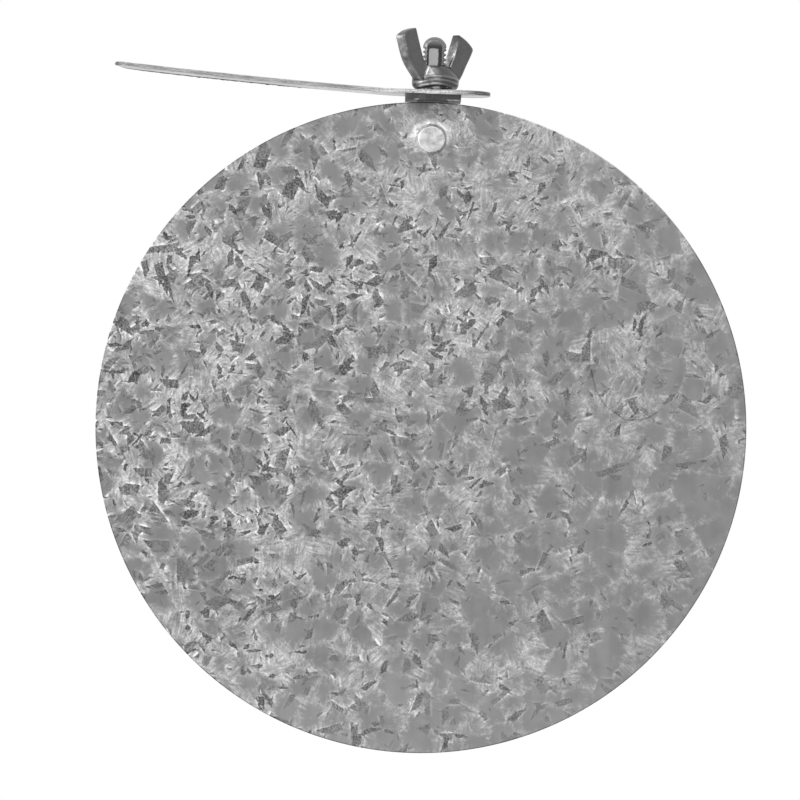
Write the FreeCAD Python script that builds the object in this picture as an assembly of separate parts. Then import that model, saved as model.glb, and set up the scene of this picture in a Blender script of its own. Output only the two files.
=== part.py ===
import FreeCAD, Part
import math
import os
from FreeCAD import Vector

# Stove pipe damper for a 7 inch pipe, in millimetres.
# The stud stands along +Z. The origin is on its axis, on the shoulder plate's upper face.
# The blade hangs below in the XZ plane, with the rivet's flat head facing -Y.

# Blade: a disc of galvanised sheet.
blade_diameter = 171.45
blade_thickness = 0.70
blade_rim_break = 0.15

# Stud: threaded rod with two flats, a domed end and a flattened tang.
stud_diameter = 6.35
stud_across_flats = 4.76
stud_length = 15.5
stud_dome_height = 2.9
tang_width = 8.3
tang_thickness = 2.9
tang_below_rivet = 5.2
tang_end_radius = 2.6

# Shoulder plate: a sheared square of steel, keyed on the stud's flats.
plate_width = 14.7
plate_depth = 12.2
plate_thickness = 1.6
plate_corner_radius = 0.5
plate_key_clearance = 0.08
plate_to_blade_gap = 0.35

# Rivet: one flat-headed tinner's rivet through the blade and the tang.
rivet_below_rim = 9.77
rivet_shank_diameter = 3.6
rivet_hole_clearance = 0.08
rivet_head_diameter = 7.25
rivet_head_height = 1.15
rivet_head_bevel = 0.35
rivet_tail_diameter = 5.6
rivet_tail_height = 1.7

# The sheet is drawn forward into a shallow ring under the rivet's head.
dish_outer_radius = 4.9
dish_inner_radius = 3.8
dish_height = 0.30

# Lever: a flat strip with rounded ends, bowed up towards its long end.
lever_width = 12.7
lever_thickness = 1.2
lever_tail = 15.2
lever_flat = 6.5
lever_first_bend_radius = 140.0
lever_first_bend_angle = 3.3
lever_bow_radius = 1900.0
lever_bow_angle = 2.17
lever_end_flat = 0.3
lever_key_slack = 0.42
lever_hole_clearance = 0.25
lever_turn_share = 0.75

# Wing nut: a forged boss with two raised wings.
nut_height = 6.4
nut_base_radius = 5.0
nut_base_land = 0.30
nut_base_bulge = 0.30
nut_waist_radius = 6.2
nut_waist_low = 1.8
nut_waist_high = 3.1
nut_top_radius = 4.2
nut_thread_clearance = 0.06
nut_turned = 44.0
wing_thickness = 3.6
wing_edge_round = 0.95
wing_root_inner = 3.5
wing_root_outer = 7.0
wing_root_below_waist = 0.6
wing_neck_height = 5.4
wing_throat_radius = 5.9
wing_throat_height = 9.6
wing_inner_radius = 8.3
wing_top_height = 15.9
wing_tip_radius = 13.2
wing_tip_height = 12.5
wing_outer_bulge = 0.6
wing_top_bulge = 0.4
wing_tip_round = 1.2
wing_root_fillet = 0.8

# Stations that follow from the sizes above.
stud_radius = stud_diameter / 2
half_flats = stud_across_flats / 2
plate_bottom = -plate_thickness
blade_top = plate_bottom - plate_to_blade_gap
blade_centre = blade_top - blade_diameter / 2
rivet_level = blade_top - rivet_below_rim
blade_back = -tang_thickness / 2
blade_front = blade_back - blade_thickness
lever_top = lever_thickness
wing_root_height = nut_waist_high - wing_root_below_waist
ALONG_Y = Vector(0, 1, 0)


def face_of(points):
    return Part.Face(Part.makePolygon(points + [points[0]]))


def double_d(radius, half_width, bottom, height):
    """A round bar with two flats that face -Y and +Y."""
    bar = Part.makeCylinder(radius, height, Vector(0, 0, bottom))
    flats = Part.makeBox(4 * radius, 2 * half_width, height, Vector(-2 * radius, -half_width, bottom))
    return bar.common(flats)


def make_blade():
    middle = Vector(0, blade_back, blade_centre)
    disc = Part.makeCylinder(blade_diameter / 2, blade_thickness, middle, -ALONG_Y)
    disc = disc.makeChamfer(blade_rim_break, [e for e in disc.Edges if isinstance(e.Curve, Part.Circle)])

    # The drawn ring keeps the sheet's thickness and is spun about the rivet's axis.
    hole_radius = rivet_shank_diameter / 2 + rivet_hole_clearance
    raised = blade_back - dish_height
    section = face_of([
        Vector(dish_outer_radius, blade_back, rivet_level),
        Vector(dish_inner_radius, raised, rivet_level),
        Vector(hole_radius, raised, rivet_level),
        Vector(hole_radius, raised - blade_thickness, rivet_level),
        Vector(dish_inner_radius, raised - blade_thickness, rivet_level),
        Vector(dish_outer_radius, blade_front, rivet_level),
    ])
    ring = section.revolve(Vector(0, 0, rivet_level), ALONG_Y, 360)
    opening = Part.makeCylinder(dish_outer_radius, 4 * blade_thickness,
                                Vector(0, blade_back + blade_thickness, rivet_level), -ALONG_Y)
    return disc.cut(opening).fuse(ring).removeSplitter()


def make_stud():
    # The domed end is the top of a ball that meets the rod on its full diameter.
    dome_start = stud_length - stud_dome_height
    dome_radius = (stud_radius ** 2 + stud_dome_height ** 2) / (2 * stud_dome_height)
    bend = math.asin(stud_radius / dome_radius) / 2
    dome_middle = Vector(dome_radius * math.sin(bend), 0,
                         stud_length - dome_radius * (1 - math.cos(bend)))
    profile = Part.Wire([
        Part.makeLine(Vector(0, 0, plate_bottom), Vector(stud_radius, 0, plate_bottom)),
        Part.makeLine(Vector(stud_radius, 0, plate_bottom), Vector(stud_radius, 0, dome_start)),
        Part.Arc(Vector(stud_radius, 0, dome_start), dome_middle, Vector(0, 0, stud_length)).toShape(),
        Part.makeLine(Vector(0, 0, stud_length), Vector(0, 0, plate_bottom)),
    ])
    rod = Part.Face(profile).revolve(Vector(0, 0, 0), Vector(0, 0, 1), 360)
    rod = rod.common(double_d(2 * stud_radius, half_flats, plate_bottom, stud_length - plate_bottom))

    tang_bottom = rivet_level - tang_below_rivet
    tang = Part.makeBox(tang_width, tang_thickness, plate_bottom - tang_bottom,
                        Vector(-tang_width / 2, -tang_thickness / 2, tang_bottom))
    lower_corners = []
    for edge in tang.Edges:
        ends = [v.Point for v in edge.Vertexes]
        if max(p.z for p in ends) < tang_bottom + 0.01 and abs(ends[0].y - ends[1].y) > 0.1:
            lower_corners.append(edge)
    tang = tang.makeFillet(tang_end_radius, lower_corners)

    shank_hole = Part.makeCylinder(rivet_shank_diameter / 2 + rivet_hole_clearance, 2 * tang_thickness,
                                   Vector(0, -tang_thickness, rivet_level), ALONG_Y)
    return rod.fuse(tang).removeSplitter().cut(shank_hole)


def make_shoulder_plate():
    plate = Part.makeBox(plate_width, plate_depth, plate_thickness,
                         Vector(-plate_width / 2, -plate_depth / 2, plate_bottom))
    upright = [e for e in plate.Edges if abs(e.Vertexes[0].Z - e.Vertexes[1].Z) > 0.1]
    plate = plate.makeFillet(plate_corner_radius, upright)
    key = double_d(stud_radius + plate_key_clearance, half_flats + plate_key_clearance,
                   plate_bottom - 1, plate_thickness + 2)
    return plate.cut(key)


def make_rivet():
    head_face = blade_front - dish_height
    tail_face = tang_thickness / 2
    head = Part.makeCylinder(rivet_head_diameter / 2, rivet_head_height,
                             Vector(0, head_face, rivet_level), -ALONG_Y)
    front = [e for e in head.Edges if isinstance(e.Curve, Part.Circle)
             and e.Curve.Center.y < head_face - rivet_head_height / 2]
    head = head.makeChamfer(rivet_head_bevel, front)
    shank = Part.makeCylinder(rivet_shank_diameter / 2, tail_face - head_face,
                              Vector(0, head_face, rivet_level), ALONG_Y)

    # The tail is hammered into a low dome.
    tail_radius = rivet_tail_diameter / 2
    ball_radius = (tail_radius ** 2 + rivet_tail_height ** 2) / (2 * rivet_tail_height)
    ball = Part.makeSphere(ball_radius, Vector(0, tail_face + rivet_tail_height - ball_radius, rivet_level))
    behind = Part.makeBox(4 * ball_radius, 4 * ball_radius, 4 * ball_radius,
                          Vector(-2 * ball_radius, tail_face, rivet_level - 2 * ball_radius))
    return head.fuse([shank, ball.common(behind)]).removeSplitter()


def make_lever():
    # Upper and lower edge of the strip seen from the front, from the tail to the long end.
    first = math.radians(lever_first_bend_angle)
    last = first + math.radians(lever_bow_angle)

    def bent_edge(height):
        inner = lever_first_bend_radius - height
        bow = lever_bow_radius - height

        def on_first(angle):
            return Vector(-lever_flat - inner * math.sin(angle), 0, height + inner * (1 - math.cos(angle)))

        def on_bow(angle):
            start = on_first(first)
            return start + Vector(bow * (math.sin(first) - math.sin(angle)), 0,
                                  bow * (math.cos(first) - math.cos(angle)))

        return [
            Part.makeLine(Vector(lever_tail, 0, height), Vector(-lever_flat, 0, height)),
            Part.Arc(Vector(-lever_flat, 0, height), on_first(first / 2), on_first(first)).toShape(),
            Part.Arc(on_first(first), on_bow((first + last) / 2), on_bow(last)).toShape(),
        ]

    lower = bent_edge(0)
    upper = bent_edge(lever_thickness)
    tail_end = Part.makeLine(lower[0].Vertexes[0].Point, upper[0].Vertexes[0].Point)
    long_end = Part.makeLine(lower[-1].Vertexes[-1].Point, upper[-1].Vertexes[-1].Point)
    profile = Part.Wire(Part.__sortEdges__(lower + [long_end] + upper + [tail_end]))
    strip = Part.Face(profile).extrude(Vector(0, lever_width, 0))
    strip.translate(Vector(0, -lever_width / 2, 0))

    # Seen from above both ends are round, with a short flat left in the middle.
    reach = lower[-1].Vertexes[-1].Point.x
    plan = Part.makeBox(lever_tail - reach, lever_width, 60, Vector(reach, -lever_width / 2, -20))
    corners = [e for e in plan.Edges if abs(e.Vertexes[0].Z - e.Vertexes[1].Z) > 1]
    strip = strip.common(plan.makeFillet((lever_width - lever_end_flat) / 2, corners))

    key = double_d(stud_radius + lever_hole_clearance, half_flats + lever_key_slack, -1, lever_thickness + 2)
    strip = strip.cut(key)

    # Clamped with its loose hole turned part of the way that the stud's flats allow.
    corner = math.asin(half_flats / stud_radius)
    loose_turn = math.asin(min(1, (half_flats + lever_key_slack) / stud_radius)) - corner
    strip.rotate(Vector(0, 0, 0), Vector(0, 0, 1), -lever_turn_share * math.degrees(loose_turn))
    return strip


def bowed(start, end, bulge):
    """An arc in the XZ plane from start to end that swells to the right of its way by bulge."""
    way = (end - start).normalize()
    middle = (start + end) * 0.5 + Vector(way.z, 0, -way.x) * bulge
    return Part.Arc(start, middle, end).toShape()


def make_wing():
    """One wing in the XZ plane on the +X side, its nut standing on z = 0."""
    side = -wing_thickness / 2
    root_in = Vector(wing_root_inner, side, wing_root_height)
    root_out = Vector(wing_root_outer, side, wing_root_height)
    tip = Vector(wing_tip_radius, side, wing_tip_height)
    top = Vector(wing_inner_radius, side, wing_top_height)
    throat = Vector(wing_throat_radius, side, wing_throat_height)
    neck = Vector(wing_root_inner, side, wing_neck_height)
    outline = Part.Wire([
        Part.makeLine(root_in, root_out),
        bowed(root_out, tip, wing_outer_bulge),
        bowed(tip, top, wing_top_bulge),
        Part.makeLine(top, throat),
        Part.makeLine(throat, neck),
        Part.makeLine(neck, root_in),
    ])
    wing = Part.Face(outline).extrude(Vector(0, wing_thickness, 0))
    across = [e for e in wing.Edges if abs(e.Vertexes[0].Y - e.Vertexes[1].Y) > 0.1]
    wing = wing.makeFillet(wing_tip_round, [e for e in across if e.Vertexes[0].X > wing_tip_radius - 0.1])
    rims = [e for e in wing.Edges if abs(e.Vertexes[0].Y - e.Vertexes[-1].Y) < 0.01
            and max(v.X for v in e.Vertexes) > wing_root_inner + 0.1
            and max(v.Z for v in e.Vertexes) > wing_root_height + 0.1]
    return wing.makeFillet(wing_edge_round, rims).Solids[0]


def make_wing_nut():
    land = Vector(nut_base_radius, 0, nut_base_land)
    waist = Vector(nut_waist_radius, 0, nut_waist_low)
    sides = Part.makePolygon([
        waist,
        Vector(nut_waist_radius, 0, nut_waist_high),
        Vector(nut_top_radius, 0, nut_height),
        Vector(0, 0, nut_height),
        Vector(0, 0, 0),
        Vector(nut_base_radius, 0, 0),
        land,
    ])
    underside = bowed(land, waist, nut_base_bulge)
    section = Part.Face(Part.Wire([underside] + sides.Edges))
    boss = section.revolve(Vector(0, 0, 0), Vector(0, 0, 1), 360)
    wing = make_wing()
    other = wing.copy()
    other.rotate(Vector(0, 0, 0), Vector(0, 0, 1), 180)
    bore = Part.makeCylinder(stud_radius + nut_thread_clearance, 3 * wing_top_height,
                             Vector(0, 0, -wing_top_height))
    nut = boss.fuse([wing, other]).removeSplitter()

    # The wings run into the boss's cone with a fillet, on the edges that lie on a wing and on the boss.
    roots = []
    for edge in nut.Edges:
        spot = Part.Vertex(edge.valueAt((edge.FirstParameter + edge.LastParameter) / 2))
        to_wing = min(w.Shells[0].distToShape(spot)[0] for w in (wing, other))
        to_boss = boss.Shells[0].distToShape(spot)[0]
        if max(to_wing, to_boss) < 0.001 and edge.BoundBox.ZMin > nut_waist_high - 0.1:
            roots.append(edge)
    nut = nut.makeFillet(wing_root_fillet, roots).cut(bore)
    nut.rotate(Vector(0, 0, 0), Vector(0, 0, 1), nut_turned)
    nut.translate(Vector(0, 0, lever_top))
    return nut


os.makedirs("parts", exist_ok=True)
pieces = {
    "blade": make_blade(),
    "stud": make_stud(),
    "shoulder_plate": make_shoulder_plate(),
    "rivet": make_rivet(),
    "lever": make_lever(),
    "wing_nut": make_wing_nut(),
}
for name, shape in pieces.items():
    if shape.ShapeType == "Compound" and len(shape.Solids) == 1:
        shape = shape.Solids[0]
    shape.exportStep("parts/" + name + ".step")
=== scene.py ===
import math

import bmesh
import bpy
from mathutils import Matrix, Vector, geometry, noise


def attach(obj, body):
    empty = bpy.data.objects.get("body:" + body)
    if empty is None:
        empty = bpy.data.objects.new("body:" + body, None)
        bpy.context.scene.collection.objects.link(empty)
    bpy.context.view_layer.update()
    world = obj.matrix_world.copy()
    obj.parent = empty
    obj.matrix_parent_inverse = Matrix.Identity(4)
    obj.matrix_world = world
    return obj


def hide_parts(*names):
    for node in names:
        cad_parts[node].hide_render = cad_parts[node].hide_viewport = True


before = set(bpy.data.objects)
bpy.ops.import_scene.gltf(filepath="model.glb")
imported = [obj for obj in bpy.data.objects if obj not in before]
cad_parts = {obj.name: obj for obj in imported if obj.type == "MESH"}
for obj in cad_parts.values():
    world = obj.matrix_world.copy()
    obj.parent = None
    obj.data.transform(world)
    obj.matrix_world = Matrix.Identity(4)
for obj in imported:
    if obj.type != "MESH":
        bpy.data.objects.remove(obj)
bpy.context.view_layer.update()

# Blade: a disc of galvanised sheet, sheared round, drawn forward into a low ring under the rivet's head.
# The zinc froze in a coarse spangle: dull smooth plates, feathered light crystals and dark angular ones.
MM = 0.001
blade_radius = 85.725 * MM
blade_middle_z = -87.675 * MM
blade_back_y = -1.45 * MM
blade_sheet = 0.70 * MM
blade_rim_break = 0.15 * MM
blade_net = 5.2 * MM
blade_margin = 4 * MM
rivet_z = -11.72 * MM
rivet_hole = 1.9 * MM
rivet_margin = 9 * MM
ring_inner = 3.8 * MM
ring_outer = 4.9 * MM
ring_height = 0.30 * MM


def circle(cx, cz, radius, count):
    turns = [2 * math.pi * k / count for k in range(count)]
    return [Vector((cx + radius * math.cos(t), cz + radius * math.sin(t))) for t in turns]


def ease(value, start, end):
    """A smooth step from 0 at the start to 1 at the end."""
    part = min(1.0, max(0.0, (value - start) / (end - start)))
    return part * part * (3 - 2 * part)


def ring_lift(x, z):
    return ring_height * ease(math.hypot(x, z - rivet_z), ring_outer, ring_inner)


def new_piece(name, bm, smooth_angle):
    bmesh.ops.recalc_face_normals(bm, faces=bm.faces)
    mesh = bpy.data.meshes.new(name)
    bm.to_mesh(mesh)
    bm.free()
    piece = bpy.data.objects.new(name, mesh)
    bpy.context.scene.collection.objects.link(piece)
    mesh.shade_smooth()
    mesh.set_sharp_from_angle(angle=math.radians(smooth_angle))
    return piece


def join_rings(bm, one, two):
    """Quads between two closed rings of as many points."""
    for k in range(len(one)):
        n = (k + 1) % len(one)
        bm.faces.new((one[k], one[n], two[n], two[k]))


def cut_sheet(name, outline, inset, hole, guides, points, thick, corner, place):
    """A sheet cut to an outline, with one hole and broken edges. Guides are closed lines and points are loose
    ones that the filling keeps. Place turns two flat coordinates and a height in the sheet into a spot."""
    flat, edges = [], []
    for loop in [inset, hole] + guides:
        first = len(flat)
        flat += loop
        edges += [(first + k, first + (k + 1) % len(loop)) for k in range(len(loop))]
    filled = geometry.delaunay_2d_cdt(flat + points, edges, [], 1, 1e-7)
    spots, triangles = filled[0], filled[2]
    row_of = {source: row for row, sources in enumerate(filled[3]) for source in sources}
    rim_rows = [row_of[k] for k in range(len(inset))]
    hole_rows = [row_of[len(inset) + k] for k in range(len(hole))]
    in_hole = set(hole_rows)
    bm = bmesh.new()
    low = [bm.verts.new(place(p.x, p.y, 0)) for p in spots]
    high = [bm.verts.new(place(p.x, p.y, thick)) for p in spots]
    for triangle in triangles:
        if not in_hole.issuperset(triangle):
            bm.faces.new([low[v] for v in triangle])
            bm.faces.new([high[v] for v in reversed(triangle)])
    rims = [[low[k] for k in rim_rows]]
    for height in (corner, thick - corner):
        rims.append([bm.verts.new(place(p.x, p.y, height)) for p in outline])
    rims.append([high[k] for k in rim_rows])
    for one, two in zip(rims, rims[1:]):
        join_rings(bm, one, two)
    join_rings(bm, [low[k] for k in hole_rows], [high[k] for k in hole_rows])
    return new_piece(name, bm, 30)


guides = [circle(0, rivet_z, away * MM, 72) for away in (2.8, 3.8, 4.07, 4.35, 4.63, 4.9, 6.0)]
points = []
for i in range(-16, 17):
    for k in range(-16, 17):
        spot = Vector((i * blade_net, blade_middle_z + k * blade_net))
        inside = (spot - Vector((0, blade_middle_z))).length < blade_radius - blade_margin
        if inside and (spot - Vector((0, rivet_z))).length > rivet_margin:
            points.append(spot)
blade = cut_sheet(
    "blade_sheet",
    circle(0, blade_middle_z, blade_radius, 384),
    circle(0, blade_middle_z, blade_radius - blade_rim_break, 384),
    circle(0, rivet_z, rivet_hole, 72),
    guides, points, blade_sheet, blade_rim_break,
    lambda x, z, height: (x, blade_back_y - height - ring_lift(x, z), z),
)


def put(tree, kind, inputs=None, **settings):
    """Adds a node, with its settings, and fills its sockets by a value or by a link."""
    made = tree.nodes.new(kind)
    for key, value in settings.items():
        setattr(made, key, value)
    for key, value in (inputs or {}).items():
        if isinstance(value, bpy.types.NodeSocket):
            tree.links.new(value, made.inputs[key])
        else:
            made.inputs[key].default_value = value
    return made


def sums(tree, operation, *values, clamp=False):
    made = put(tree, "ShaderNodeMath", dict(enumerate(values)), operation=operation, use_clamp=clamp)
    return made.outputs[0]


def times(tree, product, *values):
    for value in values:
        product = sums(tree, "MULTIPLY", product, value)
    return product


def added(tree, total, *pairs):
    """A start, and then by pairs each mask and how much it adds where it is 1."""
    for mask, amount in zip(pairs[::2], pairs[1::2]):
        total = sums(tree, "MULTIPLY_ADD", mask, amount, total)
    return total


def ramp(tree, value, low, high, to_low=0.0, to_high=1.0, kind="SMOOTHSTEP"):
    made = put(tree, "ShaderNodeMapRange", {0: value, 1: low, 2: high, 3: to_low, 4: to_high})
    made.interpolation_type = kind
    return made.outputs[0]


def fall(tree, value, low, high):
    """1 up to low, 0 from high on."""
    return ramp(tree, value, low, high, 1.0, 0.0)


def blend(tree, share, one, two):
    return put(tree, "ShaderNodeMix", {0: share, 2: one, 3: two}).outputs[0]


def vectors(tree, operation, *values):
    return put(tree, "ShaderNodeVectorMath", dict(enumerate(values)), operation=operation).outputs[0]


def measure(tree, operation, one, two=(0, 0, 0)):
    """A number from vectors: a distance, a length or a dot product."""
    return put(tree, "ShaderNodeVectorMath", {0: one, 1: two}, operation=operation).outputs["Value"]


def parts(tree, vector):
    return list(put(tree, "ShaderNodeSeparateXYZ", {0: vector}).outputs)


def joined(tree, x, y, z=0.0):
    return put(tree, "ShaderNodeCombineXYZ", {0: x, 1: y, 2: z}).outputs[0]


def rotated(tree, vector, angle):
    made = put(tree, "ShaderNodeVectorRotate", {"Vector": vector, "Angle": angle}, rotation_type="Z_AXIS")
    return made.outputs[0]


def new_group(name, inputs, outputs):
    tree = bpy.data.node_groups.new(name, "ShaderNodeTree")
    for label, kind, value in inputs:
        socket = tree.interface.new_socket(label, in_out="INPUT", socket_type=kind)
        if value is not None:
            socket.default_value = value
    for label, kind in outputs:
        tree.interface.new_socket(label, in_out="OUTPUT", socket_type=kind)
    return tree, tree.nodes.new("NodeGroupInput").outputs, tree.nodes.new("NodeGroupOutput").inputs


# Spangle: each zinc crystal froze outward from a nucleus. Its core is smooth, its outer part feathered,
# and the pockets left between crystals are dark, with a light lip. Place is flat, in millimetres.
spangle, given, gives = new_group(
    "zinc_spangle",
    [("Place", "NodeSocketVector", None), ("Contrast", "NodeSocketFloat", 1.0),
     ("Pockets", "NodeSocketFloat", 1.0), ("Calm", "NodeSocketFloat", 0.0)],
    [("Tone", "NodeSocketFloat"), ("Core", "NodeSocketFloat"), ("Relief", "NodeSocketFloat")],
)
place, pockets, calm = given["Place"], given["Pockets"], given["Calm"]
whole_turn = 6.283
zinc_middle_tone = 0.57


def clouds(tree, where, scale, detail=2.0, low=-1.0, high=1.0):
    """Flat noise, stretched so that most of it lies between low and high."""
    made = put(tree, "ShaderNodeTexNoise", {
        "Vector": where, "Scale": scale, "Detail": detail, "Roughness": 0.55}, noise_dimensions="2D")
    return ramp(tree, made.outputs[0], 0.28, 0.72, low, high, "LINEAR")


def crystals(tree, where, size):
    """Flat cells of about this size: distance from the nucleus, three random shares, and offset from it."""
    cell = put(tree, "ShaderNodeTexVoronoi", {"Vector": where, "Scale": 1 / size}, voronoi_dimensions="2D")
    shares = put(tree, "ShaderNodeSeparateColor", {0: cell.outputs["Color"]}).outputs
    offset = vectors(tree, "SUBTRACT", where, cell.outputs["Position"])
    return cell.outputs["Distance"], shares, offset


def bent(tree, where, scale, reach):
    """The place, pushed about unevenly by up to half the reach."""
    push = put(tree, "ShaderNodeTexNoise", {
        "Vector": where, "Scale": scale, "Detail": 2.0}, noise_dimensions="2D")
    push = vectors(tree, "SUBTRACT", push.outputs["Color"], (0.5, 0.5, 0.5))
    return vectors(tree, "ADD", where, vectors(tree, "MULTIPLY", push, (reach, reach, reach)))


grit = clouds(spangle, place, 2.0)
open_field = clouds(spangle, place, 0.065, 3.0, 0.0, 1.0)
loose = bent(spangle, place, 0.30, 2.6)
ragged = bent(spangle, place, 1.3, 0.50)


def feathered(size):
    """Crystals with rays out from the nucleus: the rays, a smooth core, and a tone of each one's own."""
    away, shares, offset = crystals(spangle, loose, size)
    offset = parts(spangle, offset)
    turn = sums(spangle, "ARCTAN2", offset[1], offset[0])
    out = added(spangle, times(spangle, away, 2.4), shares[0], 57.0)
    fan = joined(spangle, times(spangle, turn, 4.0), out)
    reach = sums(spangle, "POWER", shares[1], 1.3)
    reach = added(spangle, -0.22, reach, 0.90, open_field, 0.45, calm, 0.25)
    edge = added(spangle, sums(spangle, "SUBTRACT", away, reach), clouds(spangle, place, 0.45, 4.0), 0.26)
    seam = put(spangle, "ShaderNodeTexVoronoi", {"Vector": loose, "Scale": 1 / size}, voronoi_dimensions="2D",
               feature="DISTANCE_TO_EDGE").outputs["Distance"]
    seam = ramp(spangle, added(spangle, seam, clouds(spangle, place, 0.7, 4.0), 0.09), -0.04, 0.20)
    merged = sums(spangle, "MULTIPLY_ADD", open_field, 0.8, times(spangle, calm, 0.3), clamp=True)
    seam = blend(spangle, merged, seam, 1.0)
    return clouds(spangle, fan, 1.0), times(spangle, fall(spangle, edge, -0.48, 0.42), seam), shares[2]


def hatched(size):
    """Straight strokes side by side, at an angle of its own in each crystal."""
    shares, offset = crystals(spangle, ragged, size)[1:]
    offset = rotated(spangle, offset, times(spangle, shares[0], whole_turn))
    return clouds(spangle, vectors(spangle, "MULTIPLY_ADD", offset, (0.20, 1.5, 0), shares[1]), 1.0)


def shards(size, share, seed, slender):
    """Four-cornered crystals lying at any angle: the dark inside and the light lip along one side of it."""
    shifted = vectors(spangle, "ADD", ragged, (17.3 * seed, 9.1 * seed, 0))
    shares, offset = crystals(spangle, shifted, size)[1:]
    x, y = parts(spangle, rotated(spangle, offset, times(spangle, shares[0], whole_turn)))[:2]
    half = added(spangle, 0.13 * size, shares[1], 0.32 * size)
    lean = sums(spangle, "FRACT", times(spangle, shares[0], 7.3))
    depth = sums(spangle, "FRACT", times(spangle, shares[1], 9.7))
    steep = added(spangle, 0.45 * slender, lean, 1.1 * slender)
    along = added(spangle, x, y, sums(spangle, "SUBTRACT", depth, 0.35))
    slope = times(spangle, sums(spangle, "SUBTRACT", half, along), steep)
    top = times(spangle, half, added(spangle, 0.40 * slender, lean, 0.75 * slender))
    inside = sums(spangle, "ADD", along, half)
    for height in (slope, top):
        inside = sums(spangle, "MINIMUM", inside, sums(spangle, "SUBTRACT", height, y))
    chosen = ramp(spangle, sums(spangle, "SUBTRACT", share, shares[2]), -0.01, 0.01)
    dark = ramp(spangle, sums(spangle, "MINIMUM", inside, y), -0.05, 0.12)
    beside = ramp(spangle, sums(spangle, "MINIMUM", inside, times(spangle, y, -1.0)), -0.05, 0.08)
    wide = ramp(spangle, sums(spangle, "DIVIDE", y, added(spangle, 0.30, lean, 1.1)), -1.0, 0.0)
    lip = times(spangle, beside, wide, sums(spangle, "SUBTRACT", 1.1, depth), chosen)
    return times(spangle, dark, added(spangle, 0.55, depth, 0.45), chosen), lip


crowd = times(spangle, clouds(spangle, place, 0.085, 3.0, 0.0, 1.55), pockets)
rays, core, own = feathered(7.0)
strokes = hatched(6.0)
shard_sorts = (
    (7.9, 0.90, 1, 1.0),
    (5.9, 0.78, 2, 1.0),
    (8.6, 0.55, 5, 0.42),
    (4.4, 0.62, 3, 1.0),
    (2.8, 0.48, 4, 1.0),
)
dark_part, lip = 0.0, 0.0
for size, share, seed, slender in shard_sorts:
    more_dark, more_lip = shards(size, times(spangle, crowd, share), seed, slender)
    dark_part = sums(spangle, "MAXIMUM", dark_part, more_dark)
    lip = sums(spangle, "MAXIMUM", lip, more_lip)

quiet = sums(spangle, "SUBTRACT", 1.0, core)
mottle = clouds(spangle, place, 0.75, 4.0)
tone = added(spangle, 0.640, strokes, 0.088, rays, 0.060, mottle, 0.032, calm, -0.018, grit, 0.048, own, 0.07)
smooth = added(spangle, 0.545, clouds(spangle, place, 0.13), 0.022)
tone = added(spangle, blend(spangle, core, tone, smooth), lip, added(spangle, 0.06, quiet, 0.13))
deep = added(spangle, 0.425, strokes, 0.06, grit, 0.11)
tone = blend(spangle, times(spangle, dark_part, added(spangle, 0.45, quiet, 0.55)), tone, deep)
swing = times(spangle, sums(spangle, "SUBTRACT", tone, zinc_middle_tone), given["Contrast"])
spangle.links.new(sums(spangle, "ADD", swing, zinc_middle_tone), gives["Tone"])
spangle.links.new(core, gives["Core"])
spangle.links.new(sums(spangle, "SUBTRACT", times(spangle, rays, quiet), dark_part), gives["Relief"])


def new_metal(name):
    material = bpy.data.materials.new(name)
    material.use_nodes = True
    tree = material.node_tree
    shader = tree.nodes["Principled BSDF"]
    shader.inputs["Metallic"].default_value = 1.0
    return material, tree, shader


def millimetres(tree, where):
    return parts(tree, vectors(tree, "MULTIPLY", where, (1 / MM, 1 / MM, 1 / MM)))


def surface(tree, shader, tone, rough, relief=None, strength=0.15, depth=0.1 * MM):
    """Feeds a metal with a tone as the eye sees it, 0 to 1, made grey, with a roughness and a fine relief."""
    level = sums(tree, "POWER", tone, 2.2)
    grey = put(tree, "ShaderNodeCombineColor", {0: level, 1: level, 2: level}).outputs[0]
    tree.links.new(grey, shader.inputs["Base Color"])
    tree.links.new(rough, shader.inputs["Roughness"])
    if relief is not None:
        bump = put(tree, "ShaderNodeBump", {"Strength": strength, "Distance": depth, "Height": relief})
        tree.links.new(bump.outputs[0], shader.inputs["Normal"])


# The sheet is busier to the left, and calmer near its top and, faintly streaked, down its lower right part.
material, tree, shader = new_metal("galvanised_sheet")
coords = put(tree, "ShaderNodeTexCoord").outputs
x, z = millimetres(tree, coords["Object"])[::2]
far_side = sums(tree, "GREATER_THAN", parts(tree, coords["Normal"])[1], 0.1)
lower_right = sums(tree, "SUBTRACT", times(tree, x, 0.8), added(tree, 52.0, z, 0.6))
near_top = ramp(tree, z, -34.0, -12.0, 1.0, 0.40)
zinc = put(tree, "ShaderNodeGroup", {
    "Place": joined(tree, x, added(tree, z, far_side, 300.0)),
    "Contrast": ramp(tree, x, -85.0, 75.0, 1.38, 1.02, "LINEAR"),
    "Pockets": times(tree, near_top, ramp(tree, lower_right, -70.0, 60.0, 1.45, 0.42)),
    "Calm": ramp(tree, lower_right, -30.0, 60.0),
}, node_tree=spangle).outputs
streaks = clouds(tree, joined(tree, times(tree, x, 0.30), times(tree, z, 0.025)), 1.0, 3.0)
tone = added(tree, zinc["Tone"], streaks, 0.014)

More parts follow.
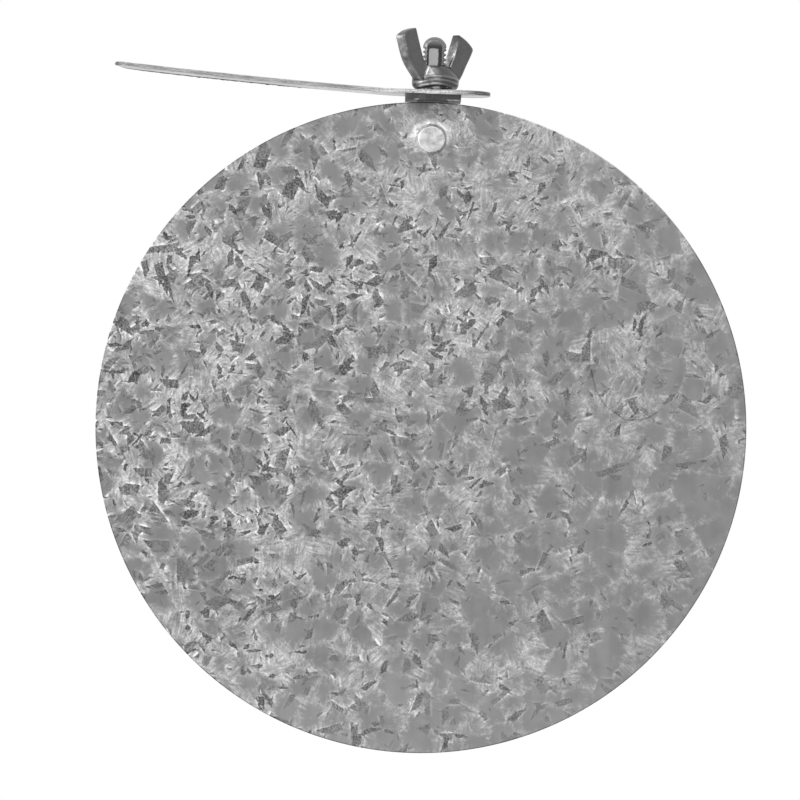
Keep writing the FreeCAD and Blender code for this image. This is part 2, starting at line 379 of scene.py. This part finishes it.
# Round the rivet's head the zinc is painted lighter in a mottled halo, a painted highlight on the drawn ring.
rivet_level = rivet_z / MM
flat_spot = joined(tree, x, z)
from_rivet = measure(tree, "DISTANCE", flat_spot, (0, rivet_level, 0))
rivet_halo_highlight = times(tree, fall(tree, from_rivet, 4.2, 7.0), clouds(tree, flat_spot, 0.8, 3.0, 0.0, 1.0))
over = sums(tree, "SUBTRACT", z, rivet_level)
upper = ramp(tree, over, -2.0, 3.0)
lower_side = ramp(tree, sums(tree, "SUBTRACT", x, over), 1.5, 4.5)
# Painted highlight: the drawn ring is lighter on its upper side, where light falls.
drawn_ring_highlight = times(tree, ramp(tree, from_rivet, 3.95, 4.25), fall(tree, from_rivet, 4.5, 6.2))
drawn_ring_highlight = times(tree, drawn_ring_highlight, added(tree, upper, clouds(tree, flat_spot, 0.5, 3.0), 0.4))
# Painted shade: a dark line round the base of the head, darker on its lower right.
head_base_shade = sums(tree, "MAXIMUM", times(tree, upper, 0.07), times(tree, lower_side, 0.12))
head_base_shade = times(tree, head_base_shade, fall(tree, from_rivet, 3.95, 4.35))
# Painted light: the sheet just left of the head is lightened against its shade.
near_head_light = times(tree, fall(tree, from_rivet, 3.8, 4.2), fall(tree, x, -1.8, 1.2))
tone = added(tree, tone, rivet_halo_highlight, 0.13, near_head_light, 0.12, head_base_shade, -1.0, drawn_ring_highlight, 0.16)

# A curved hair scratch lies on the right, the top carries the plate's painted shadow, streaked, and the
# sheared rim is bare, with painted shade over most of its round and a painted highlight toward its upper
# right.
scratch_middle = (56.2, -71.0, 0)
scratch_radius = 12.0
from_scratch = vectors(tree, "SUBTRACT", bent(tree, flat_spot, 0.12, 3.0), scratch_middle)
scratch_x, scratch_z = parts(tree, from_scratch)[:2]
off_line = sums(tree, "SUBTRACT", measure(tree, "LENGTH", from_scratch), scratch_radius)
scratch = fall(tree, sums(tree, "ABSOLUTE", off_line), 0.10, 0.26)
scratch = times(tree, scratch, fall(tree, scratch_z, 0.0, 2.0), fall(tree, scratch_x, 5.5, 7.5))
scratch = times(tree, scratch, sums(tree, "SUBTRACT", 1.0, far_side))
# Painted shadow of the plate on the top of the sheet.
plate_shadow = times(tree, ramp(tree, z, -8.0, -3.0), fall(tree, sums(tree, "ABSOLUTE", x), 4.0, 8.0))
rim = blade_radius / MM
from_middle = measure(tree, "DISTANCE", flat_spot, (0, blade_middle_z / MM, 0))
bare_rim = ramp(tree, from_middle, rim - 0.35, rim - 0.05)
# Painted shade on the rim, and a painted highlight toward its upper right.
upper_right = added(tree, -0.87 * blade_middle_z / MM, z, 0.87, x, 0.5)
rim_shade_and_highlight = ramp(tree, upper_right, 0.88 * rim, 0.99 * rim, -0.22, 0.16)
tone = added(tree, tone, scratch, -0.11, plate_shadow, added(tree, -0.09, streaks, 0.06), bare_rim, rim_shade_and_highlight)
tone = sums(tree, "ADD", tone, ramp(tree, z, -130.0, -170.0, 0.0, 0.035))
surface(tree, shader, tone, ramp(tree, zinc["Core"], 0.0, 1.0, 0.38, 0.50), zinc["Relief"], 0.10, 0.2 * MM)
blade.data.materials.append(material)
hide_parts("blade")
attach(blade, "damper")

# Rivet: a soft tinned rivet, its flat front head a little out of round, its tail hammered to a dome behind.
# It clamps the blade against the stud's tang. The dent's place is in shares of the head's radius.
rivet_head_radius = 3.62 * MM
rivet_head_round = 0.46 * MM
rivet_flat_share = 0.84
rivet_face_y = -3.55 * MM
rivet_seat_y = -2.45 * MM
rivet_tail_y = 1.45 * MM
rivet_tail_radius = 2.78 * MM
rivet_tail_height = 1.65 * MM
rivet_tail_sink = 0.05 * MM
dent_x = 0.14
dent_z = -0.36
dent_depth = 0.10 * MM
head_waves = 0.05 * MM
tail_facets = 0.10 * MM


def spun(name, profile, outline, steps=96):
    """A mesh spun about the rivet's axis from (share of radius, y) pairs, out of round by outline(angle)."""
    bm = bmesh.new()
    rows = []
    for share, y in profile:
        row = []
        for k in range(steps):
            turn = 2 * math.pi * k / steps
            reach = share * outline(turn)
            x, z = reach * math.cos(turn), rivet_z + reach * math.sin(turn)
            row.append(bm.verts.new((x, y(share, turn), z)))
        rows.append(row)
    for one, two in zip(rows, rows[1:]):
        join_rings(bm, one, two)
    bm.faces.new(rows[0])
    bm.faces.new(reversed(rows[-1]))
    return new_piece(name, bm, 50)


def head_outline(turn):
    return rivet_head_radius * (0.988 + 0.008 * math.sin(2 * turn + 0.6) + 0.005 * math.sin(3 * turn + 2.0))


def head_y(share, turn):
    x, z = share * math.cos(turn), share * math.sin(turn)
    edge = max(0.0, (share - rivet_flat_share) / (1 - rivet_flat_share))
    rise = rivet_head_round * (1 - math.sqrt(max(0.0, 1 - edge * edge)))
    dent = dent_depth * math.exp(-((x - dent_x) ** 2 + (z - dent_z) ** 2) / 0.018)
    waves = head_waves * noise.noise(Vector((2.2 * x, 2.2 * z, 4.0)))
    return rivet_face_y + rise + dent + waves


def tail_y(share, turn):
    x, z = share * math.cos(turn), share * math.sin(turn)
    facets = tail_facets * noise.noise(Vector((1.6 * x, 1.6 * z, 9.0))) * (1 - share)
    dome = rivet_tail_height * math.sqrt(max(0.0, 1 - share * share))
    return rivet_tail_y + dome + facets - rivet_tail_sink


head_rings = [(0.03 + 0.97 * (k / 30) ** 0.8, head_y) for k in range(31)]
head_rings.append((1.0, lambda share, turn: rivet_seat_y))
rivet_head = spun("rivet_head", head_rings, head_outline)
tail_rings = [(math.sin(math.pi / 2 * (0.02 + 0.98 * k / 22)), tail_y) for k in range(23)]
rivet_tail = spun("rivet_tail", tail_rings, lambda turn: rivet_tail_radius * (1 + 0.02 * math.sin(2 * turn)))


def grain(tree, where, scale, detail=2.0, roughness=0.5):
    """Noise through the solid, about 0.5."""
    return put(tree, "ShaderNodeTexNoise", {
        "Vector": where, "Scale": scale, "Detail": detail, "Roughness": roughness}).outputs[0]


def hypotenuse(tree, one, two):
    return sums(tree, "SQRT", added(tree, times(tree, two, two), one, one))


material, tree, shader = new_metal("tinned_rivet")
where = put(tree, "ShaderNodeTexCoord").outputs["Object"]
blotch = grain(tree, where, 620.0, 4.0, 0.6)
grit = grain(tree, where, 2600.0)
dent_spot = (dent_x * rivet_head_radius, rivet_face_y, rivet_z + dent_z * rivet_head_radius)
# Painted shade: the dent in the head is darker.
dent = fall(tree, measure(tree, "DISTANCE", where, dent_spot), 0.2 * MM, 0.75 * MM)
x, z = parts(tree, vectors(tree, "SUBTRACT", where, (0, 0, rivet_z)))[::2]
# Painted highlight: the head's rim is lighter on its left, where light falls.
left_rim_highlight = ramp(tree, hypotenuse(tree, x, z), 3.0 * MM, 3.4 * MM)
left_rim_highlight = times(tree, left_rim_highlight, fall(tree, x, -1.5 * MM, 1.0 * MM))
tone = added(tree, 0.47, grit, 0.16, blotch, 0.48, dent, -0.13, left_rim_highlight, 0.08)
tone = sums(tree, "MINIMUM", tone, 0.97)
surface(tree, shader, tone, ramp(tree, blotch, 0.3, 0.7, 0.40, 0.55), grit, 0.25)
for piece in (rivet_head, rivet_tail):
    piece.data.materials.append(material)
    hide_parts("rivet")
    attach(piece, "damper")

# Stud: a plated rod with a coarse rolled thread, two flats pressed on it and a domed end.
# Below the plate it is flattened into the tang that the rivet goes through.
stud_crest = 3.13 * MM
stud_root = 2.45 * MM
stud_flat = 2.37 * MM
stud_flat_half = 1.90 * MM
stud_flat_crown = 0.08 * MM
stud_top = 15.45 * MM
stud_foot = -1.6 * MM
stud_nose = 3.0 * MM
stud_steps = 160
thread_pitch = 1.27 * MM
thread_start = 0.1 * MM
thread_run_out = math.radians(24)
thread_fade = 0.4 * MM
thread_flank = 1.28
thread_root_flat = 0.12
tang_half = 4.12 * MM
tang_back = 1.43 * MM
tang_foot = -16.85 * MM
tang_round = 2.6 * MM


def stud_radius(turn, z):
    """The thread is full at the sides and runs out to a straight line where the flats begin."""
    from_side = math.atan2(abs(math.sin(turn)), abs(math.cos(turn)))
    flat_edge = math.atan2(stud_flat, stud_flat_half)
    full = ease(from_side, flat_edge, flat_edge - thread_run_out)
    threaded = min(1.0, max(0.0, (stud_top - stud_nose + thread_fade - z) / (2 * thread_fade)))
    lap = (z / thread_pitch - turn / (2 * math.pi)) % 1.0
    form = min(1.0, max(0.0, thread_flank * (1 - abs(2 * lap - 1)) - thread_root_flat))
    height = 1 - threaded * (1 - form)
    smooth = math.hypot(stud_flat, stud_flat_half)
    body = smooth + (stud_root + (stud_crest - stud_root) * height - smooth) * full
    if z < thread_start:
        body = stud_crest
    over = max(0.0, z - (stud_top - stud_nose)) / stud_nose
    return body * math.sqrt(max(0.0, 1 - over * over))


levels = [stud_foot, thread_start]
while levels[-1] < stud_top - 0.10 * MM:
    levels.append(levels[-1] + thread_pitch / 14)
levels[-1] = stud_top - 0.002 * MM
bm = bmesh.new()
rows = []
for level in levels:
    row = []
    for k in range(stud_steps):
        turn = 2 * math.pi * k / stud_steps
        reach = stud_radius(turn, level)
        across, out = reach * math.cos(turn), reach * math.sin(turn)
        crown = stud_flat - stud_flat_crown * min(1.0, (across / stud_flat_half) ** 2)
        row.append(bm.verts.new((across, max(-crown, min(crown, out)), level)))
    rows.append(row)
for one, two in zip(rows, rows[1:]):
    join_rings(bm, one, two)
bm.faces.new(rows[-1])
bm.faces.new(reversed(rows[0]))

outline = [Vector((tang_half, stud_foot)), Vector((-tang_half, stud_foot))]
for side in (-1, 1):
    for k in range(9):
        turn = math.pi / 2 * k / 8
        way = Vector((math.cos(turn), math.sin(turn)))
        if side > 0:
            way = way.yx
        outline.append(Vector((side * (tang_half - tang_round + tang_round * way.x),
                               tang_foot + tang_round - tang_round * way.y)))
near = [bm.verts.new((p.x, -tang_back, p.y)) for p in outline]
far = [bm.verts.new((p.x, tang_back, p.y)) for p in outline]
bm.faces.new(near)
bm.faces.new(reversed(far))
join_rings(bm, near, far)
stud = new_piece("stud_rod", bm, 28)

# The flats are painted darker as shade, and the front one carries a painted highlight: a bright patch, ragged
# at its edges, reflecting the light.
material, tree, shader = new_metal("dark_plated_steel")
coords = put(tree, "ShaderNodeTexCoord").outputs
x, z = millimetres(tree, coords["Object"])[::2]
film = grain(tree, coords["Object"], 420.0, 4.0, 0.6)
pits = grain(tree, coords["Object"], 2200.0)
flat = ramp(tree, sums(tree, "ABSOLUTE", parts(tree, coords["Normal"])[1]), 0.93, 0.97)
flat = times(tree, flat, sums(tree, "GREATER_THAN", z, 0.0))
wobble = added(tree, -0.45, film, 0.9)
highlight_side = sums(tree, "ABSOLUTE", sums(tree, "ADD", x, 0.22))
highlight_side = fall(tree, sums(tree, "ADD", highlight_side, wobble), 1.10, 1.40)
highlight_top = fall(tree, sums(tree, "ADD", z, wobble), 12.0, 12.45)
painted_highlight = times(tree, flat, highlight_side, highlight_top)
# Painted shade in the flats.
flat_shade = times(tree, flat, fall(tree, z, 12.4, 14.2))
tone = added(tree, 0.36, pits, 0.08, film, 0.16, flat_shade, -0.22, painted_highlight, 0.40)
surface(tree, shader, tone, ramp(tree, film, 0.3, 0.7, 0.26, 0.40))
stud.data.materials.append(material)
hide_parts("stud")
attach(stud, "damper")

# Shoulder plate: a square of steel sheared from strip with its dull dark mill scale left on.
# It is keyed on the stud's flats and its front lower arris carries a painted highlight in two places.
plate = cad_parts["shoulder_plate"]
material, tree, shader = new_metal("black_scale")
shader.inputs["Metallic"].default_value = 0.0
shader.inputs["Specular IOR Level"].default_value = 0.05
where = put(tree, "ShaderNodeTexCoord").outputs["Object"]
x, y, z = millimetres(tree, where)
scale_patch = grain(tree, where, 380.0, 5.0, 0.65)
sheared = grain(tree, vectors(tree, "MULTIPLY", where, (2600.0, 2600.0, 300.0)), 1.0)
arris = times(tree, fall(tree, z, -1.55, -1.15), fall(tree, y, -6.05, -5.9))
# Painted highlight on the front lower arris, left and right.
painted_highlight = times(tree, ramp(tree, x, -5.2, -4.6), fall(tree, x, -4.0, -3.4))
painted_highlight = times(tree, arris, sums(tree, "MAXIMUM", painted_highlight, ramp(tree, x, 3.4, 4.2)))
tone = added(tree, 0.17, sheared, 0.10, scale_patch, 0.22, painted_highlight, times(tree, scale_patch, 0.7))
surface(tree, shader, tone, ramp(tree, scale_patch, 0.3, 0.7, 0.38, 0.55))
plate.data.materials.clear()
plate.data.materials.append(material)

# Lever: a strip of galvanised steel with sheared round ends, bowed up along its long arm.
# Rolling has drawn the spangle out into streaks, and the sheared edges are bare and greyer.
lever_half = 6.35 * MM
lever_thick = 1.2 * MM
lever_tail = 15.2 * MM
lever_flat = 6.5 * MM
lever_bend = 140 * MM
lever_bend_angle = math.radians(3.3)
lever_bow = 1900 * MM
lever_bow_angle = math.radians(2.17)
lever_end_radius = 6.2 * MM
lever_corner = 0.14 * MM
lever_burr = 0.22 * MM
lever_burr_start = 26 * MM
lever_burr_grows = 6 * MM
lever_nose = 2.2 * MM
lever_key_radius = 3.425 * MM
lever_key_half = 2.80 * MM
lever_turn = math.radians(-9.98)
lever_reach = lever_flat + lever_bend * lever_bend_angle + lever_bow * lever_bow_angle
lever_step = 2.5 * MM
lever_row = 3.4 * MM


def lever_outline(inset):
    """Both ends round in plan, the long sides divided so that they can bend."""
    half, radius = lever_half - inset, lever_end_radius - inset
    start, end = lever_tail - inset - radius, -lever_reach + inset + radius
    straight = [start + (end - start) * k / 150 for k in range(1, 150)]
    corner = [math.pi / 2 * k / 14 for k in range(15)]
    loop = [Vector((x, half)) for x in straight]
    loop += [Vector((end - radius * math.sin(t), half - radius + radius * math.cos(t))) for t in corner]
    loop += [Vector((end - radius * math.cos(t), radius - half - radius * math.sin(t))) for t in corner]
    loop += [Vector((x, -half)) for x in reversed(straight)]
    loop += [Vector((start + radius * math.sin(t), radius - half - radius * math.cos(t))) for t in corner]
    loop += [Vector((start + radius * math.cos(t), half - radius + radius * math.sin(t))) for t in corner]
    return loop


def on_lever(along, across, height):
    """A flat spot of the strip, burred below its far edge, thinned at its tip, bent up past its flat part and
    turned on the stud."""
    past = max(0.0, -along - lever_flat)
    if height == 0 and across > lever_half - 1.5 * lever_corner:
        burred = min(1.0, max(0.0, (past - lever_burr_start) / lever_burr_grows))
        height -= lever_burr * burred * max(0.0, noise.noise(Vector((along / MM * 0.9, 0, 7))) + 0.2)
    from_tip = min(1.0, max(0.0, (lever_reach + along) / lever_nose))
    squeezed = 0.15 + 0.85 * math.sqrt(1 - (1 - from_tip) ** 2)
    height = lever_thick * 0.6 + (height - lever_thick * 0.6) * squeezed
    turn = min(past / lever_bend, lever_bend_angle)
    further = max(0.0, past - lever_bend * lever_bend_angle) / lever_bow
    inner, outer = lever_bend - height, lever_bow - height
    x = max(along, -lever_flat) - inner * math.sin(turn) - outer * (math.sin(turn + further) - math.sin(turn))
    z = height + inner * (1 - math.cos(turn)) + outer * (math.cos(turn) - math.cos(turn + further))
    return (x * math.cos(lever_turn) - across * math.sin(lever_turn),
            x * math.sin(lever_turn) + across * math.cos(lever_turn), z)


key_hole = []
for spot in circle(0, 0, lever_key_radius, 48):
    key_hole.append(Vector((spot.x, max(-lever_key_half, min(lever_key_half, spot.y)))))
points = []
for k in range(int((lever_reach + lever_tail) / lever_step)):
    for across in (-lever_row, 0.0, lever_row):
        spot = Vector((lever_tail - lever_half - k * lever_step, across))
        if spot.length > 6 * MM and spot.x > -lever_reach + 4 * MM:
            points.append(spot)
lever = cut_sheet("lever_strip", lever_outline(0), lever_outline(lever_corner), key_hole,
                  [lever_outline(3 * lever_corner)], points, lever_thick, lever_corner, on_lever)

# The height is taken from the bent strip's underside, so that the streaks follow the bow.
material, tree, shader = new_metal("galvanised_strip")
coords = put(tree, "ShaderNodeTexCoord").outputs
unturned = rotated(tree, coords["Object"], -lever_turn)
x, y, z = millimetres(tree, unturned)
past = sums(tree, "MAXIMUM", sums(tree, "SUBTRACT", -lever_flat / MM, x), 0.0)
in_bend = sums(tree, "MINIMUM", past, lever_bend * lever_bend_angle / MM)
in_bow = sums(tree, "SUBTRACT", past, in_bend)
lift = times(tree, in_bend, in_bend, MM / (2 * lever_bend))
lift = added(tree, lift, in_bow, math.tan(lever_bend_angle))
lift = added(tree, lift, times(tree, in_bow, in_bow), MM / (2 * lever_bow))
height = sums(tree, "SUBTRACT", z, lift)
on_strip = joined(tree, x, y, height)
streak = grain(tree, vectors(tree, "MULTIPLY", on_strip, (0.22, 0.52, 4.2)), 1.0, 4.0, 0.6)
sheared = grain(tree, vectors(tree, "MULTIPLY", on_strip, (1.1, 1.1, 7.0)), 1.0, 3.0)
zinc = put(tree, "ShaderNodeGroup", {
    "Place": vectors(tree, "MULTIPLY", unturned, (420.0, 1000.0, 0.0)),
    "Contrast": 0.8, "Pockets": 0.6, "Calm": 0.4,
}, node_tree=spangle).outputs
facing_up = parts(tree, coords["Normal"])[2]
bare = fall(tree, sums(tree, "ABSOLUTE", facing_up), 0.3, 0.7)
handled = fall(tree, x, -84.5, -78.0)
# The sheared edges near the hub are lighter, partly worn and partly a painted highlight, with dark specks.
hub_wear_and_highlight = fall(tree, sums(tree, "ABSOLUTE", x), 8.0, 22.0)
tail_end = ramp(tree, x, 6.0, 14.5)
burr = fall(tree, height, -0.07, -0.01)
speckle = times(tree, ramp(tree, grain(tree, coords["Object"], 1900.0), 0.52, 0.68), hub_wear_and_highlight)
edge_tone = added(tree, 0.08, hub_wear_and_highlight, 0.16, streak, 0.60, sheared, 0.50, speckle, -0.17)
edge_tone = added(tree, edge_tone, handled, -0.26, tail_end, -0.34)
tone = added(tree, sums(tree, "ADD", zinc["Tone"], -0.04), streak, 0.42)
tone = added(tree, blend(tree, bare, tone, edge_tone), burr, -0.45)

# Along the far edge of the underside of the long arm the strip is darker, and dull.
far_edge_dark = times(tree, ramp(tree, y, 1.8, 3.6), fall(tree, facing_up, -0.9, -0.6), fall(tree, x, -44.0, -34.0))
far_edge_dark = times(tree, far_edge_dark, ramp(tree, streak, 0.33, 0.47))
rough = blend(tree, far_edge_dark, ramp(tree, streak, 0.3, 0.7, 0.34, 0.48), 0.95)
surface(tree, shader, blend(tree, far_edge_dark, tone, 0.20), rough, streak)
tree.links.new(sums(tree, "SUBTRACT", 1.0, far_edge_dark), shader.inputs["Metallic"])
lever.data.materials.append(material)
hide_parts("lever")
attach(lever, "lever")

# Wing nut: a forged nut with a dull dark plate, painted lighter on the wings' narrow sides as light falling
# on them.
# It clamps the lever and the pipe's wall against the shoulder plate. Its dies were worn: the left wing's
# shoulder stands high, the boss lies off the thread's axis, ridges run round it and its cone has a facet.
wing_turn = math.radians(44)
wing_way = (math.cos(wing_turn), math.sin(wing_turn), 0)
wing_shoulder = 14.2 * MM
wing_inner = 7.4 * MM
shoulder_rise = 1.1 * MM
wing_drop = 0.55 * MM
wing_lean = 0.60 * MM
boss_shift = 0.48 * MM
ridge_height = 0.11 * MM
ridge_pitch = 1.15 * MM
ridge_level = 2.25 * MM
ridge_hump = 0.45 * MM
ridge_bend = 0.42
ridge_lag = 0.5
facet_turn = math.radians(-103)
facet_slope = math.radians(33.7)
facet_reach = 5.93 * MM
facet_level = 5.1 * MM
facet_spot = Vector((facet_reach * math.cos(facet_turn), facet_reach * math.sin(facet_turn), facet_level))
facet_way = Vector((
    math.cos(facet_turn) * math.cos(facet_slope),
    math.sin(facet_turn) * math.cos(facet_slope),
    math.sin(facet_slope),
))


def forged(spot):
    """Where the worn dies left a spot of the even nut."""
    along = spot.x * wing_way[0] + spot.y * wing_way[1]
    from_axis = math.hypot(spot.x, spot.y)
    outer = ease(abs(along), wing_inner, wing_shoulder)
    moved = spot.copy()
    past = (spot - facet_spot).dot(facet_way)
    if past > 0 and from_axis < 6.4 * MM and spot.z > 4.5 * MM:
        moved -= facet_way * past
    on_boss = ease(from_axis, 4.6 * MM, 5.3 * MM) * ease(from_axis, 6.8 * MM, 6.3 * MM)
    on_boss *= ease(spot.z, 1.25 * MM, 1.7 * MM) * ease(spot.z, 5.4 * MM, 4.8 * MM)
    on_boss *= ease(spot.x, -5.5 * MM, -1.5 * MM) * ease(spot.x, 6.5 * MM, 3.5 * MM)
    hump = ridge_hump * math.cos(ridge_bend * spot.x / MM - ridge_lag)
    ridge = ridge_height * on_boss * math.cos(2 * math.pi * (spot.z - hump - ridge_level) / ridge_pitch)
    moved += Vector((spot.x, spot.y, 0)).normalized() * ridge
    moved.x += boss_shift * ease(from_axis, 3.6 * MM, 5.0 * MM) * ease(spot.z, 9 * MM, 4 * MM)
    if along < 0:
        moved.z += shoulder_rise * outer * ease(spot.z, 6 * MM, 13 * MM)
    else:
        right_wing = ease(spot.z, 7 * MM, 14 * MM) * ease(along, 3.5 * MM, 5 * MM)
        moved.z -= wing_drop * right_wing
        moved -= Vector(wing_way) * wing_lean * right_wing * (1 - outer)
    return moved


def on_boss_side(spot):
    return 4.2 * MM < math.hypot(spot.x, spot.y) < 6.9 * MM and 1.52 * MM < spot.z < 7.6 * MM


bm = bmesh.new()
bm.from_mesh(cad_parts["wing_nut"].data)
bmesh.ops.remove_doubles(bm, verts=bm.verts, dist=0.0001 * MM)
for length in (0.9, 0.6, 0.4, 0.3):
    boss = [edge for edge in bm.edges if edge.calc_length() > length * MM
            and all(on_boss_side(v.co) for v in edge.verts)]
    bmesh.ops.subdivide_edges(bm, edges=boss, cuts=1)
    bmesh.ops.triangulate(bm, faces=bm.faces)
for v in bm.verts:
    v.co = forged(v.co)
nut = new_piece("forged_nut", bm, 42)

# The ridges carry painted highlights on their crests, the flat on the cone, bounded by three lines, carries
# the brightest painted highlight, and the boss's left side is painted darker as shade.
material, tree, shader = new_metal("plated_nut")
coords = put(tree, "ShaderNodeTexCoord").outputs
where = coords["Object"]
x, y, z = millimetres(tree, where)
skin = grain(tree, where, 260.0, 5.0, 0.6)
pits = grain(tree, where, 1500.0, 3.0)
from_axis = hypotenuse(tree, sums(tree, "SUBTRACT", x, boss_shift / MM), y)
on_boss = times(tree, fall(tree, z, 4.9, 5.2), fall(tree, from_axis, 6.35, 6.7))
skin_wave = 1.3
hump = sums(tree, "COSINE", added(tree, -ridge_lag, x, ridge_bend))
wavy = added(tree, z, skin, skin_wave, hump, -ridge_hump / MM)
wavy = sums(tree, "SUBTRACT", wavy, ridge_level / MM + skin_wave / 2)
ridge_relief_and_light = sums(tree, "COSINE", times(tree, wavy, 2 * math.pi * MM / ridge_pitch))
ridge_relief_and_light = times(tree, ridge_relief_and_light, on_boss, ramp(tree, x, -5.0, -1.5, 0.35, 1.0))
facet_highlight = 1.0
for start, by_x, by_z in ((4.144, -1.0, -0.72), (4.085, 1.0, -0.33), (-5.1, -0.23, 1.0)):
    facet_highlight = sums(tree, "MINIMUM", facet_highlight, added(tree, start, x, by_x, z, by_z))
facet_highlight = times(tree, ramp(tree, facet_highlight, 0.0, 0.25), sums(tree, "LESS_THAN", y, 0.0))
left_shade = times(tree, on_boss, fall(tree, x, -4.6, -2.0))

# The wings' narrow sides are painted lighter as light falling on them, the inner ones more, mottled and with
# lighter chips, and the nut's bottom edge carries a painted reflection of the lever in bright patches.
along_wings = measure(tree, "DOT_PRODUCT", coords["Normal"], wing_way)
wing_place = measure(tree, "DOT_PRODUCT", where, wing_way)
outer = sums(tree, "GREATER_THAN", times(tree, wing_place, along_wings), 0.0)
lit_sides = ramp(tree, sums(tree, "ABSOLUTE", along_wings), 0.35, 0.75)
lit_sides = times(tree, lit_sides, added(tree, 1.25, outer, -0.35))
chips = ramp(tree, grain(tree, where, 700.0, 3.0), 0.40, 0.66)
foot_reflection = times(tree, ramp(tree, grain(tree, where, 560.0, 3.0), 0.42, 0.60), fall(tree, z, 1.7, 2.3))
tone = added(tree, 0.275, pits, 0.07, skin, 0.12, ridge_relief_and_light, 0.10, facet_highlight, 0.24, left_shade, -0.13)
tone = added(tree, tone, lit_sides, added(tree, -0.06, skin, 0.30, chips, 0.16), foot_reflection, 0.42)
surface(tree, shader, tone, ramp(tree, skin, 0.3, 0.7, 0.26, 0.40), added(tree, pits, ridge_relief_and_light, 2.0))
nut.data.materials.append(material)
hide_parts("wing_nut")
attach(nut, "wing_nut")

# Stage: a round pale floor below the hanging blade, a white surround, soft boxes and the camera.
# The surround is white to the eye and to polished metal, and gives a softer light to the rest.
floor_level = -240 * MM
floor_radius = 520 * MM
surround_light = 0.65
bm = bmesh.new()
bmesh.ops.create_circle(bm, cap_ends=True, radius=floor_radius, segments=96)
mesh = bpy.data.meshes.new("floor")
bm.to_mesh(mesh)
bm.free()
floor = bpy.data.objects.new("floor", mesh)
floor.location = (0, 0, floor_level)
bpy.context.scene.collection.objects.link(floor)
material = bpy.data.materials.new("pale_floor")
material.use_nodes = True
shader = material.node_tree.nodes["Principled BSDF"]
shader.inputs["Base Color"].default_value = (0.9, 0.9, 0.9, 1)
shader.inputs["Roughness"].default_value = 0.9
floor.data.materials.append(material)

world = bpy.data.worlds.new("white_surround")
bpy.context.scene.world = world
world.use_nodes = True
tree = world.node_tree
ray = put(tree, "ShaderNodeLightPath").outputs
polished = sums(tree, "MAXIMUM", ray["Is Glossy Ray"], ray["Is Transmission Ray"])
seen = sums(tree, "MAXIMUM", ray["Is Camera Ray"], polished)
background = tree.nodes["Background"]
background.inputs["Color"].default_value = (1, 1, 1, 1)
tree.links.new(added(tree, surround_light, seen, 1 - surround_light), background.inputs["Strength"])


def soft_box(name, spot, width, height, radiance):
    """A rectangular lamp at a spot, out of sight, turned to the stud."""
    lamp = bpy.data.lights.new(name, "AREA")
    lamp.shape = "RECTANGLE"
    lamp.size = width
    lamp.size_y = height
    lamp.energy = radiance * math.pi * width * height
    holder = bpy.data.objects.new(name, lamp)
    holder.location = spot
    holder.rotation_euler = (-Vector(spot)).to_track_quat("-Z", "Y").to_euler()
    bpy.context.scene.collection.objects.link(holder)
    holder.visible_camera = False


soft_box("key_left", (-0.95, -0.10, 0.15), 0.8, 0.8, 3.0)
soft_box("front_top", (0.08, -0.68, 0.85), 0.45, 0.30, 5.0)
soft_box("upper_left", (-0.60, -0.16, 0.82), 0.28, 0.28, 6.0)

view_distance = 1160 * MM
view_shift_x = -5.76 * MM
view_shift_z = 7.08 * MM
pixel = 0.26335 * MM
picture_width = 800 * pixel
roll = math.radians(2.1)
right = Vector((math.cos(roll), 0, math.sin(roll)))
up = Vector((-math.sin(roll), 0, math.cos(roll)))
toward = Vector((0, -1, 0))
lens = bpy.data.cameras.new("camera")
lens.sensor_width = 36
lens.lens = lens.sensor_width * view_distance / picture_width
lens.clip_start = 50 * MM
camera = bpy.data.objects.new("camera", lens)
bpy.context.scene.collection.objects.link(camera)
turned = Matrix((right, up, toward)).transposed().to_4x4()
aim = Vector((view_shift_x, blade_back_y - blade_sheet, blade_middle_z + view_shift_z))
turned.translation = aim + toward * view_distance
camera.matrix_world = turned
bpy.context.scene.camera = camera
bpy.context.scene.view_settings.view_transform = "Standard"
